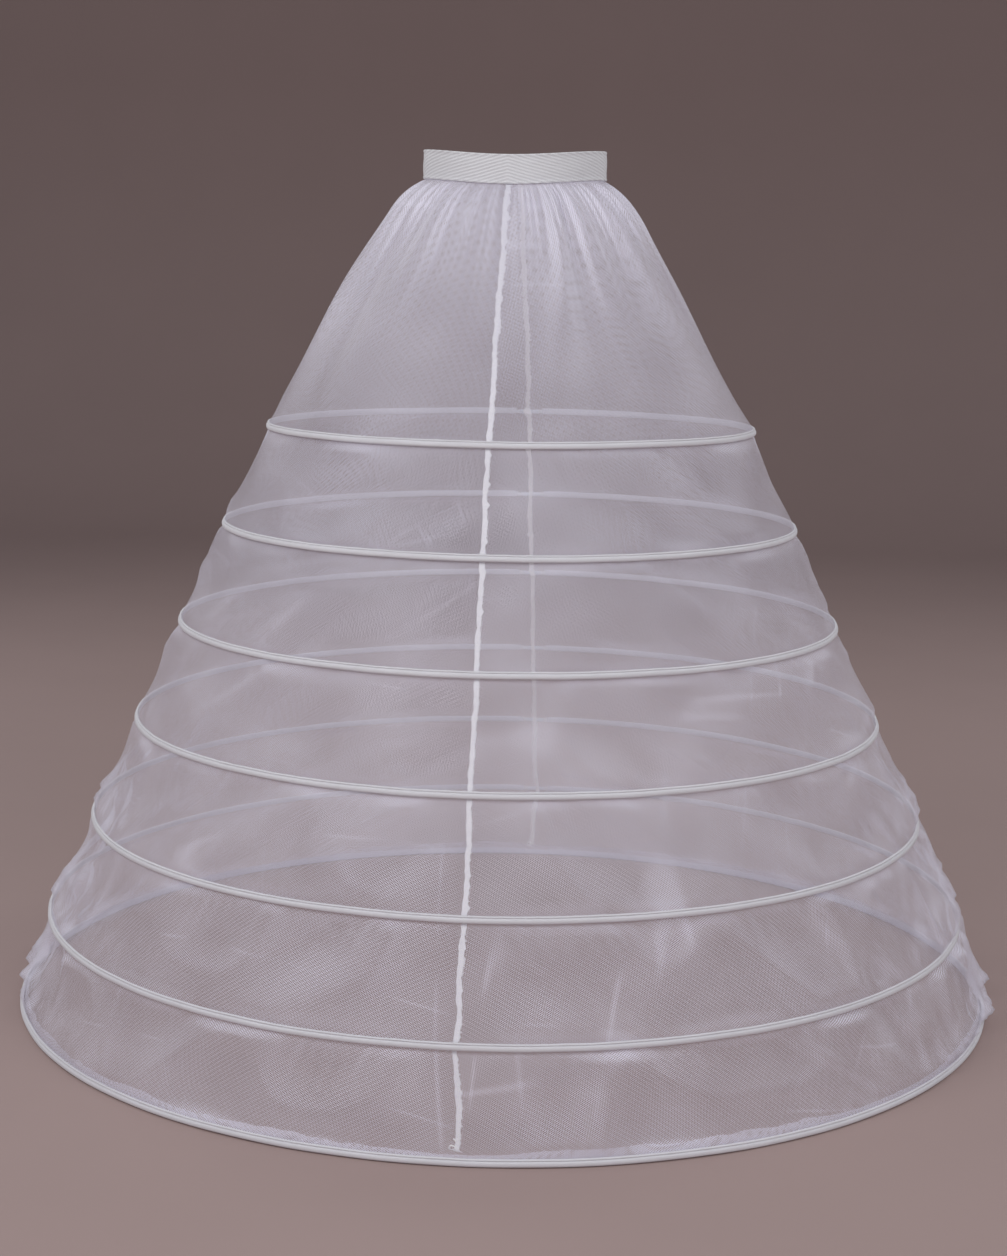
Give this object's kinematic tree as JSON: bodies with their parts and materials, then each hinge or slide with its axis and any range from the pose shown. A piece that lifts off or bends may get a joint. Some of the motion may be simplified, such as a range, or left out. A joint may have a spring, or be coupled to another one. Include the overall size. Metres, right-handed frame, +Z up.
{
  "type": "crinoline cage",
  "caption": "Bell-shaped hoop petticoat: a stiff white net skirt held out by boned hoops in sewn tape casings and gathered into an elastic waistband, worn under a full gown.",
  "frame": {"origin": "centre of the waist opening, at mid height of the waistband's sides", "axes": "+Z up through the waist, -Y to the wearer's front, +X to the right in a front view"},
  "size_m": [1.1998, 1.1995, 1.0278],
  "materials": {
    "net": "stiff white nylon net, see-through",
    "tape": "white woven tape, matte",
    "elastic": "white herringbone elastic, matte",
    "seam_binding": "white overlocked seam, fuzzy thread",
    "boning": "white sheath over spring steel, satin",
    "joiner": "milky plastic sleeve, glossy"
  },
  "bodies": {
    "root": {"waistband": "elastic", "net_panel_left": "net", "net_panel_right": "net", "front_seam": "seam_binding", "back_seam": "seam_binding", "casing_1": "tape", "casing_2": "tape", "casing_3": "tape", "casing_4": "tape", "casing_5": "tape", "casing_6": "tape", "casing_7": "tape", "hoop_1": "boning", "hoop_2": "boning", "hoop_3": "boning", "hoop_4": "boning", "hoop_5": "boning", "hoop_6": "boning", "hoop_7": "boning", "hoop_joiner_1": "joiner", "hoop_joiner_2": "joiner", "hoop_joiner_3": "joiner", "hoop_joiner_4": "joiner", "hoop_joiner_5": "joiner", "hoop_joiner_6": "joiner", "hoop_joiner_7": "joiner"}
  },
  "joints": []
}
